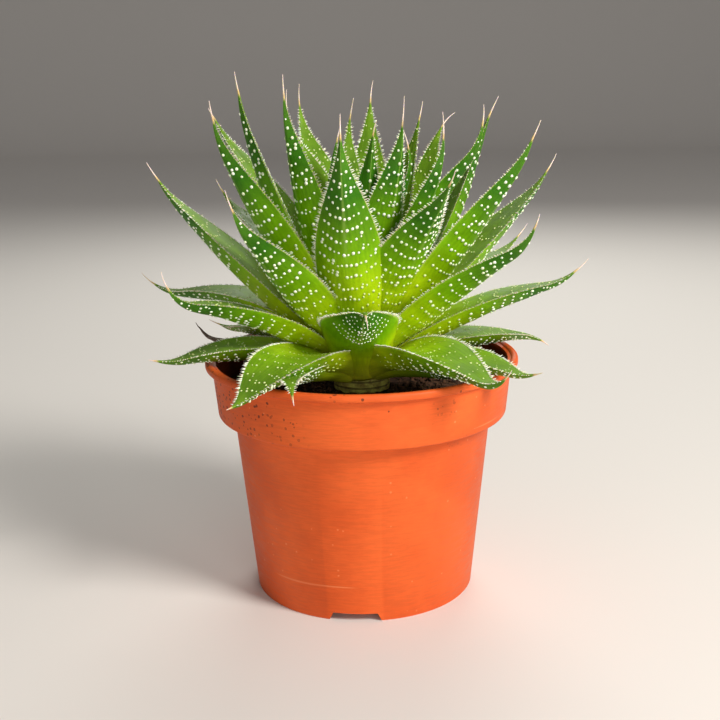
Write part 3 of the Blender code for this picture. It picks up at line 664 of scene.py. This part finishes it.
def notch_cutter(azimuth):
    bm = bmesh.new()
    bmesh.ops.create_cube(bm, size=1.0)
    for vertex in bm.verts:
        width = NOTCH_TOP_WIDTH if vertex.co.z > 0 else NOTCH_WIDTH
        height = NOTCH_HEIGHT if vertex.co.z > 0 else -1.0
        vertex.co = Vector((BASE_RADIUS + vertex.co.x * NOTCH_DEPTH, vertex.co.y * width, height))
    turn = Matrix.Rotation(math.radians(azimuth), 3, "Z")
    bmesh.ops.rotate(bm, cent=(0, 0, 0), matrix=turn, verts=bm.verts)
    return make_piece("notch_cutter", bm, [])


def drain_cutter(azimuth):
    bm = bmesh.new()
    centre = polar(DRAIN_CIRCLE, azimuth, FLOOR_HEIGHT + FLOOR_THICKNESS / 2)
    bmesh.ops.create_cone(bm, cap_ends=True, segments=32, radius1=DRAIN_RADIUS,
                          radius2=DRAIN_RADIUS, depth=4 * FLOOR_THICKNESS,
                          matrix=Matrix.Translation(centre))
    return make_piece("drain_cutter", bm, [])


def apply_cuts(obj, cutters):
    for cutter in cutters:
        cut = obj.modifiers.new("Cut", "BOOLEAN")
        cut.operation = "DIFFERENCE"
        cut.object = cutter
    bpy.context.view_layer.update()
    graph = bpy.context.evaluated_depsgraph_get()
    mesh = bpy.data.meshes.new_from_object(obj.evaluated_get(graph))
    obj.modifiers.clear()
    obj.data = mesh
    for cutter in cutters:
        bpy.data.objects.remove(cutter)
    mesh.shade_smooth()
    mesh.set_sharp_from_angle(angle=math.radians(SHARP_ANGLE))


def make_pot():
    pot = make_piece("nursery_pot", turn_profile(pot_profile(), POT_STEPS), [pot_material()])
    cutters = [notch_cutter(NOTCH_AZIMUTH + 360 * k / NOTCH_COUNT) for k in range(NOTCH_COUNT)]
    cutters += [drain_cutter(360 * k / DRAIN_COUNT) for k in range(DRAIN_COUNT)]
    apply_cuts(pot, cutters)
    finish_piece(pot, "pot", "pot")


# Soil

def soil_height(x, y):
    """The crumbly surface, level at the wall, at the stem and under each chip."""
    radius = math.hypot(x, y)
    fade = smooth((radius - STEM_RADIUS - 2) / 6) * smooth((COLLAR_LOW_RADIUS - radius - 1) / 6)
    for chip in CHIPS:
        distance = (Vector((x, y, 0)) - polar(chip.distance, chip.azimuth, 0)).length
        fade *= smooth((distance - chip.length) / 6)
    bumps = noise.noise(Vector((x, y, 3.0)) / 9.0) + 0.6 * noise.noise(Vector((x, y, 8.0)) / 4.0)
    return SOIL_TOP + SOIL_RELIEF * fade * (1.5 * bumps - 0.3)


def place_on_soil(draw, inner, outer):
    """A point between two radii, drawn evenly over the area."""
    radius = math.sqrt(draw.uniform(inner ** 2, outer ** 2))
    return polar(radius, draw.uniform(0, 360), 0)


def add_crumbs(bm, draw):
    """Granules of all sizes, part sunk in the surface."""
    for _ in range(CRUMB_COUNT):
        place = place_on_soil(draw, CRUMBS_FROM, CRUMBS_TO)
        size = CRUMB_LEAST + CRUMB_RANGE * draw.random() ** 3
        place.z = soil_height(place.x, place.y) + 0.25 * size
        turn = Matrix.Rotation(draw.uniform(0, math.tau), 4, Vector((draw.random(), 1, 0.3)))
        shape = Matrix.Diagonal((size * draw.uniform(0.7, 1.5), size, size * 0.7, 1))
        bmesh.ops.create_icosphere(bm, subdivisions=1, radius=1.0,
                                   matrix=Matrix.Translation(place) @ turn @ shape)


def make_soil():
    draw = random.Random("potting mix")
    rim = COLLAR_LOW_RADIUS - WALL - 0.25
    hole = STEM_RADIUS + GAP
    floor_top = FLOOR_HEIGHT + FLOOR_THICKNESS + GAP
    profile = [(0, floor_top), (BASE_RADIUS - WALL - 1.2, floor_top),
               (BODY_TOP_RADIUS - WALL - 0.4, BODY_TOP_HEIGHT + 1.4),
               (COLLAR_LOW_RADIUS - WALL - 1.0, COLLAR_LOW_HEIGHT + 1.1)]
    profile += [(rim + (hole - rim) * k / SOIL_RINGS, SOIL_TOP) for k in range(SOIL_RINGS + 1)]
    profile += [(hole, SOIL_TOP - 10), (0, SOIL_TOP - 10)]
    bm = turn_profile(profile, SOIL_STEPS)
    for vertex in bm.verts:
        if vertex.co.z > SOIL_TOP - 0.01:
            x, y = vertex.co.xy
            grit = noise.fractal(Vector((x, y, 1.0)) / 2.2, 1.0, 2.0, 3)
            vertex.co.z = soil_height(x, y) + 0.35 * grit - 0.1
    add_crumbs(bm, draw)
    soil = make_piece("potting_mix", bm, [soil_material("potting_mix", srgb(92, 64, 46),
                                                        srgb(34, 24, 18))])
    finish_piece(soil, "soil", "soil")
    make_fibres(draw)


def make_fibres(draw):
    """Short root hairs and coir threads lying on the soil."""
    bm = bmesh.new()
    for _ in range(FIBRE_COUNT):
        place = place_on_soil(draw, FIBRES_FROM, FIBRES_TO)
        heading = draw.uniform(0, 360)
        bend = draw.uniform(-30, 30)
        ring = bmesh.ops.create_circle(bm, cap_ends=False, segments=5,
                                       radius=FIBRE_RADIUS)["verts"]
        edges = list({edge for vertex in ring for edge in vertex.link_edges})
        for step in range(FIBRE_STEPS + 1):
            heading += bend
            high = soil_height(place.x, place.y) + FIBRE_RISE
            centre = place + Vector((0, 0, high - place.z))
            across = polar(FIBRE_RADIUS, heading + 90, 0)
            up = UP * FIBRE_RADIUS
            for n, vertex in enumerate(ring):
                angle = math.tau * n / len(ring)
                vertex.co = centre + across * math.cos(angle) + up * math.sin(angle)
            place = centre + polar(FIBRE_STEP, heading, 0)
            if step < FIBRE_STEPS:
                grown = bmesh.ops.extrude_edge_only(bm, edges=edges)["geom"]
                edges = [item for item in grown if isinstance(item, bmesh.types.BMEdge)]
                ring = [item for item in grown if isinstance(item, bmesh.types.BMVert)]
                edges = [edge for edge in edges if all(v in ring for v in edge.verts)]
    bmesh.ops.holes_fill(bm, edges=bm.edges, sides=6)
    bmesh.ops.recalc_face_normals(bm, faces=bm.faces)
    fibres = make_piece("soil_fibres", bm, [soil_material("fibre", srgb(150, 118, 88),
                                                          srgb(92, 64, 46))])
    finish_piece(fibres, "soil")


def make_chip(chip, material):
    """A rough split block of bark on the soil."""
    bm = bmesh.new()
    bmesh.ops.create_cube(bm, size=1.0)
    bmesh.ops.subdivide_edges(bm, edges=bm.edges, cuts=7, use_grid_fill=True)
    low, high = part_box(chip.name)
    turn = Matrix.Rotation(math.radians(chip.turn), 3, "Z")
    centre = polar(chip.distance, chip.azimuth, (low.z + high.z) / 2 / MM)
    for vertex in bm.verts:
        narrow = 1.0 - 0.3 * (vertex.co.z + 0.5)
        at = turn @ Vector((vertex.co.x * chip.length * narrow, vertex.co.y * chip.width * narrow,
                            vertex.co.z * (high.z - low.z) / MM)) + centre
        rough = noise.noise_vector(at / 1.6) * 0.42 + noise.noise_vector(at / 0.6) * 0.16
        rough.z *= 0.5 * (vertex.co.z + 0.5)
        vertex.co = at + rough
    bmesh.ops.smooth_vert(bm, verts=bm.verts, factor=0.35, use_axis_x=True, use_axis_y=True,
                          use_axis_z=True)
    piece = make_piece(chip.name + "_rough", bm, [material])
    finish_piece(piece, "bark", chip.name)


# Leaves

def axes(leaf, s, curl=0.0):
    """The directions along the blade, to its side and out of its face at fraction s."""
    heading = math.radians(leaf.azimuth + leaf.sweep * min(s, 1.0) + curl * max(s - 1.0, 0.0))
    reach = 1 + leaf.awn / leaf.length
    if s <= ARCH_END:
        pitch = leaf.base_pitch + (leaf.tip_pitch - leaf.base_pitch) * s / ARCH_END
    else:
        part = (s - ARCH_END) / (reach - ARCH_END)
        pitch = leaf.tip_pitch + (leaf.awn_pitch - leaf.tip_pitch) * part
    pitch = math.radians(pitch)
    out = Vector((math.cos(heading), math.sin(heading), 0))
    along = out * math.cos(pitch) + UP * math.sin(pitch)
    side = Vector((-math.sin(heading), math.cos(heading), 0))
    face = UP * math.cos(pitch) - out * math.sin(pitch)
    return along, side, face


def uprightness(leaf):
    return min(max(leaf.base_pitch / 90, 0.0), 1.0)


def spine(leaf, stations, curl=0.0):
    """The blade's centre line: a point and its axes at each station."""
    rise = uprightness(leaf)
    point = polar(CROWN_RADIUS - CROWN_TAPER * rise, leaf.azimuth, CROWN_BASE + CROWN_RISE * rise)
    here = 0.0
    frames = []
    for station in stations:
        count = max(1, round((station - here) * leaf.length / WALK_STEP))
        step = (station - here) / count
        for _ in range(count):
            point = point + axes(leaf, here + step / 2, curl)[0] * (leaf.length * step)
            here += step
        frames.append((point.copy(), *axes(leaf, station, curl)))
    return frames


def awn_radius(leaf, s):
    """The bristle's radius, which thins out along it."""
    beyond = max(s - 1.0, 0.0) * leaf.length / leaf.awn
    return AWN_RADIUS * (1 - 0.72 * beyond)


def half_width(leaf, s):
    tip = math.sin(math.pi / 2 * min(max((1 - s) / TIP_SPAN, 0.0), 1.0)) ** TIP_POWER
    base = max(leaf.foot, 0.5 - 0.15 * smooth((uprightness(leaf) - 0.5) / 0.4))
    return leaf.width / 2 * tip * (base + (1 - base) * smooth(s / 0.4)) + awn_radius(leaf, s)


def thickness(leaf, s):
    share = (half_width(leaf, s) - awn_radius(leaf, s)) / (leaf.width / 2)
    base = max(leaf.foot, 0.5)
    full = THICKNESS * leaf.width * share ** THICKNESS_POWER
    return full * (base + (1 - base) * smooth(s / 0.35))


def margin_lift(leaf, s):
    half = half_width(leaf, s) - awn_radius(leaf, s)
    return leaf.cup * (1 - 0.75 * min(s, 1.0)) * half if s < 1 else 0.0


def back_height(leaf, s, across):
    """How far the keeled back lies from the centre line, at a share of the half width."""
    u = abs(across)
    lift = margin_lift(leaf, s) * u
    depth = thickness(leaf, s) + awn_radius(leaf, s)
    roundness = 2.3 - smooth(s)
    return lift - (depth + lift) * (1 - u ** roundness)


def face_height(leaf, s, across):
    u = abs(across)
    return margin_lift(leaf, s) * u ** 1.4 + awn_radius(leaf, s) * (1 - u * u)


def skin_point(leaf, s, station_frame, across, on_face):
    """A point of the skin and the direction out of it."""
    point, _, side, face = station_frame
    height = face_height if on_face else back_height
    half = half_width(leaf, s)
    here = height(leaf, s, across)
    slope = (height(leaf, s, across + 0.02) - height(leaf, s, across - 0.02)) / (0.04 * half)
    outward = face - side * slope if on_face else side * slope - face
    return point + side * (across * half) + face * here, outward.normalized()


def blade_stations(leaf):
    reach = 1 + leaf.awn / leaf.length
    blade = [1 - (1 - k / BLADE_RINGS) ** 1.25 for k in range(BLADE_RINGS + 1)]
    return blade + [1 + (reach - 1) * k / AWN_RINGS for k in range(1, AWN_RINGS + 1)]


def label_points(bm, points, leaf_values):
    """Writes the values that the materials read on the given points."""
    for name, value in leaf_values.items():
        layer = bm.verts.layers.float[name]
        for vertex in points:
            vertex[layer] = value


def add_blade(bm, leaf, curl, tone, draw):
    """The blade and its awn: a ringed tube laid along the leaf's centre line."""
    stations = blade_stations(leaf)
    rings = len(stations) - 1
    frames = spine(leaf, stations, curl)
    bmesh.ops.create_cone(bm, cap_ends=True, segments=BLADE_SIDES, radius1=1, radius2=1, depth=1)
    sides = [edge for edge in bm.edges if abs(edge.verts[0].co.z - edge.verts[1].co.z) > 0.5]
    bmesh.ops.subdivide_edges(bm, edges=sides, cuts=rings - 1, use_grid_fill=True)
    layers = {name: bm.verts.layers.float.new(name) for name in ("along", "across", "face", "tone")}
    phase = draw.uniform(0, 50)
    for vertex in bm.verts:
        ring = round((vertex.co.z + 0.5) * rings)
        s = stations[ring]
        across = max(-1.0, min(1.0, vertex.co.x))
        on_face = vertex.co.y > 0.001
        vertex[layers["along"]] = s
        vertex[layers["across"]] = across
        vertex[layers["face"]] = 1.0 if on_face else 0.0
        vertex[layers["tone"]] = tone
        place, outward = skin_point(leaf, s, frames[ring], across, on_face)
        ripple = noise.noise(Vector((s * 9, across * 2.5, phase))) * 0.35 * smooth((1 - s) / 0.2)
        vertex.co = place + outward * ripple * (1 - across * across)


def add_spots(bm, leaf, on_face, tone, draw):
    """Rows of raised flecks that bow towards the base in their middle, closer near the tip."""
    fineness = min(1.0, leaf.length / LONG_LEAF)
    row_pitch = SPOT_ROW_PITCH * fineness * (1.35 if on_face else 1.0) / leaf.length
    spacing = SPOT_SPACING * fineness * (1.25 if on_face else 1.0)
    scatter = SPOT_SCATTER * (1.6 if on_face else 1.0) / leaf.length
    places = []
    s = (FACE_SPOTS_FROM if on_face else SPOTS_FROM) + SHORT_LEAF_BARE * (1 - fineness)
    while s < SPOTS_TO:
        count = max(1, round(2 * (half_width(leaf, s) - 0.6) / spacing))
        shift = draw.uniform(-0.25, 0.25)
        for k in range(count):
            across = (2 * (k + 0.5 + shift) / count - 1) * 0.88 + draw.uniform(-0.2, 0.2) / count
            if abs(across) > 0.92 or draw.random() < (0.22 if on_face else 0.05):
                continue
            here = s + SPOT_BOW / leaf.length * across * across + draw.uniform(-1, 1) * scatter
            places.append((min(max(here, 0.05), LAST_SPOT), across))
            if draw.random() < 0.12:
                places.append((min(here + 1.3 / leaf.length, LAST_SPOT), across + 0.3 / count))
        s += row_pitch * (1.0 - 0.25 * smooth((s - 0.4) / 0.5)) * draw.uniform(0.92, 1.08)
    places.sort()
    frames = spine(leaf, [s for s, _ in places])
    for (s, across), station_frame in zip(places, frames):
        place, outward = skin_point(leaf, s, station_frame, across, on_face)
        size = SPOT_RADIUS * draw.uniform(0.62, 1.15) * (0.45 + 0.55 * smooth(s / 0.55))
        size *= fineness * (0.68 if on_face else 1.0) * (1 - 0.3 * smooth((s - 0.85) / 0.13))
        stretch = 1.9 - 0.8 * smooth(s / 0.5)
        turn = basis(station_frame[1], outward)
        shape = Matrix.Diagonal((size * stretch, size, size * (0.4 + 0.3 * smooth(s)), 1))
        made = bmesh.ops.create_icosphere(bm, subdivisions=1, radius=1.0,
                                          matrix=Matrix.Translation(place) @ turn @ shape)
        label_points(bm, made["verts"], {"along": s, "across": across, "tone": tone,
                                         "face": 1.0 if on_face else 0.0})


def basis(along, outward):
    """A turn with X along the leaf and Z out of its skin."""
    side = outward.cross(along).normalized()
    forward = side.cross(outward).normalized()
    return Matrix((forward, side, outward)).transposed().to_4x4()


def add_teeth(bm, leaf, tone, draw):
    """Horny teeth along both margins, leaning to the tip."""
    count = round(TOOTHED_SHARE * leaf.length / TOOTH_PITCH)
    stations = sorted(TEETH_FROM + TEETH_SPAN * (k + draw.uniform(0.1, 0.9)) / count
                      for k in range(count))
    for s, station_frame in zip(stations, spine(leaf, stations)):
        point, along, side, face = station_frame
        half = half_width(leaf, s)
        rise = margin_lift(leaf, s)
        for turn in (1, -1):
            size = draw.uniform(0.65, 1.15) * (0.35 + 0.65 * smooth((s - 0.05) / 0.3))
            size *= 1 - 0.35 * smooth((s - 0.8) / 0.18)
            outward = side * (turn * half) + face * (1.1 * rise + draw.uniform(-0.2, 0.35) * half)
            outward = (outward.normalized() + along * draw.uniform(0.1, 0.6)).normalized()
            length = TOOTH_LENGTH * size + TOOTH_ROOT
            root = point + side * (turn * half) + face * rise - outward * TOOTH_ROOT
            shape = Matrix.Diagonal((1, 0.65, 1, 1))
            middle = Matrix.Translation(root + outward * length / 2)
            stand = middle @ basis(along, outward) @ shape
            made = bmesh.ops.create_cone(bm, cap_ends=True, segments=5, radius2=0.03, depth=length,
                                         radius1=TOOTH_RADIUS * size + 0.1, matrix=stand)
            label_points(bm, made["verts"], {"along": s, "across": turn, "tone": tone})


def leaf_tone(leaf):
    """How grey and pale a leaf is: the low ones, and those at the back."""
    low = smooth((45 - leaf.base_pitch) / 30)
    back = smooth((math.sin(math.radians(leaf.azimuth)) - 0.2) / 0.6)
    return min(1.0, 0.45 * low + 0.5 * back)


def make_leaf(leaf, materials):
    draw = random.Random(leaf.name)
    curl = draw.uniform(-1, 1) * AWN_CURL * leaf.length / leaf.awn
    tone = leaf_tone(leaf)
    bm = bmesh.new()
    add_blade(bm, leaf, curl, tone, draw)
    finished = len(bm.faces)
    add_spots(bm, leaf, False, tone, draw)
    add_spots(bm, leaf, True, tone, draw)
    spotted = len(bm.faces)
    add_teeth(bm, leaf, tone, draw)
    bm.faces.ensure_lookup_table()
    for face in bm.faces[finished:spotted]:
        face.material_index = SPOT_SKIN
    for face in bm.faces[spotted:]:
        face.material_index = TOOTH_SKIN
    piece = make_piece(leaf.name + "_fine", bm, materials)
    finish_piece(piece, "leaf", leaf.name)


def make_dry_leaf(leaf, material):
    """A thin, wrinkled and rolled leaf."""
    draw = random.Random(leaf.name)
    bm = bmesh.new()
    add_blade(bm, leaf, 0.0, 0.0, draw)
    for vertex in bm.verts:
        vertex.co += noise.noise_vector(vertex.co / 3.0) * 0.5
    piece = make_piece(leaf.name + "_fine", bm, [material])
    finish_piece(piece, "dry_leaf", leaf.name)


def main():
    noise.seed_set(NOISE_SEED)
    make_camera()
    make_studio()
    make_pot()
    make_soil()
    bark = bark_material()
    for chip in CHIPS:
        make_chip(chip, bark)
    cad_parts["stem"].material_slots[0].material = stem_material()
    skins = [leaf_material(), spot_material(), tooth_material()]
    for leaf in LEAVES:
        make_leaf(leaf, skins)
    withered = dry_material()
    for leaf in DRY_LEAVES:
        make_dry_leaf(leaf, withered)


main()
